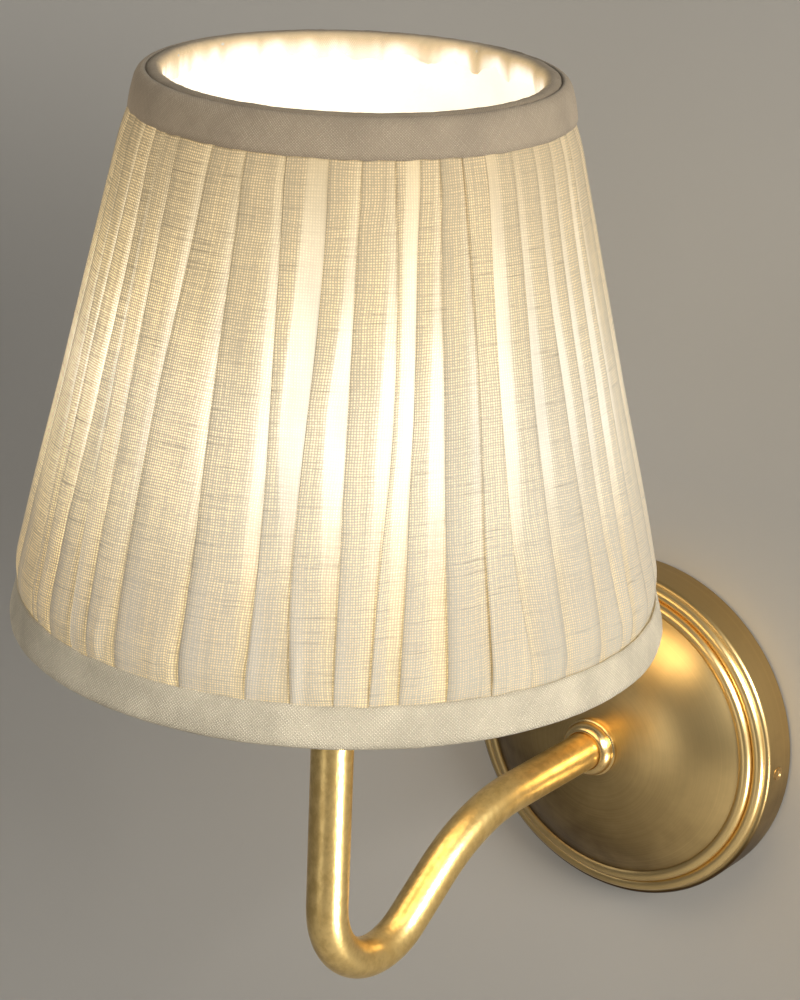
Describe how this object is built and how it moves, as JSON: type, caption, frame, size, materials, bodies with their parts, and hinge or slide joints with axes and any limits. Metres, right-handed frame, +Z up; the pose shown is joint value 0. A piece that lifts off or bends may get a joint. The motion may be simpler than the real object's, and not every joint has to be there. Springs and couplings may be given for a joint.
{
  "type": "wall light",
  "caption": "Wall light with a bent brass arm on a round domed canopy and a pleated fabric cone shade clipped on a candle lamp.",
  "frame": {"origin": "centre of the wall bracket between its two fixing slots, on the wall face", "axes": "+Z up, +Y into the wall, +X to the right seen from the room"},
  "size_m": [0.16, 0.23, 0.2663],
  "materials": {
    "aged_brass": "satin, aged",
    "spring_brass": "bright",
    "zinc_steel": "zinc plated",
    "white_plastic": "moulded",
    "ivory_plastic": "moulded",
    "nickel_cap": "nickel",
    "black_insulator": "vitrite",
    "lamp_glass": "clear",
    "filament": "phosphor coated",
    "frame_wire": "white coated wire",
    "lining_cloth": "plain, light",
    "pleated_linen": "open weave linen",
    "pale_trim": "linen tape",
    "grey_trim": "linen tape",
    "brown_insulation": "insulation",
    "blue_insulation": "insulation",
    "green_yellow_insulation": "insulation"
  },
  "bodies": {
    "root": {"arm_collar": "aged_brass", "arm_nut": "zinc_steel", "arm_tube": "aged_brass", "candle_cup": "aged_brass", "candle_tube": "ivory_plastic", "canopy": "aged_brass", "canopy_side_screws": "aged_brass", "centre_contact": "spring_brass", "clamp_screws": "zinc_steel", "earth_screw": "spring_brass", "earth_tag": "spring_brass", "earth_wire": "green_yellow_insulation", "holder_bracket": "zinc_steel", "lampholder_body": "white_plastic", "lampholder_shell": "spring_brass", "live_wire": "brown_insulation", "lock_washer": "zinc_steel", "neutral_wire": "blue_insulation", "terminal_block": "white_plastic", "tube_bush": "white_plastic", "wall_bracket": "zinc_steel"},
    "lamp": {"lamp_contact": "nickel_cap", "lamp_insulator": "black_insulator", "lamp_cap": "nickel_cap", "lamp_glass": "lamp_glass", "lamp_stem": "lamp_glass", "filament_frame": "nickel_cap", "filaments": "filament"},
    "clip": {"clip_loops": "spring_brass", "clip_crown": "aged_brass", "clip_yoke": "aged_brass", "crown_rivet": "aged_brass", "tilt_rivets": "aged_brass", "friction_washers": "spring_brass"},
    "shade": {"top_ring": "frame_wire", "bottom_ring": "frame_wire", "frame_struts": "frame_wire", "carrier_arms": "frame_wire", "lining": "lining_cloth", "pleated_cover": "pleated_linen", "top_trim": "grey_trim", "bottom_trim": "pale_trim"}
  },
  "joints": [
    {"name": "lamp_turn", "type": "hinge", "parent": "root", "child": "lamp", "pos_m": [0, -0.15, 0.1], "axis": [0, 0, 1], "range_deg": [0, 900]},
    {"name": "clip_lift", "type": "slide", "parent": "lamp", "child": "clip", "axis": [0, 0, 1], "range_m": [0, 0.05]},
    {"name": "shade_tilt", "type": "hinge", "parent": "clip", "child": "shade", "pos_m": [0, -0.15, 0.15], "axis": [1, 0, 0], "range_deg": [-15, 15]}
  ]
}
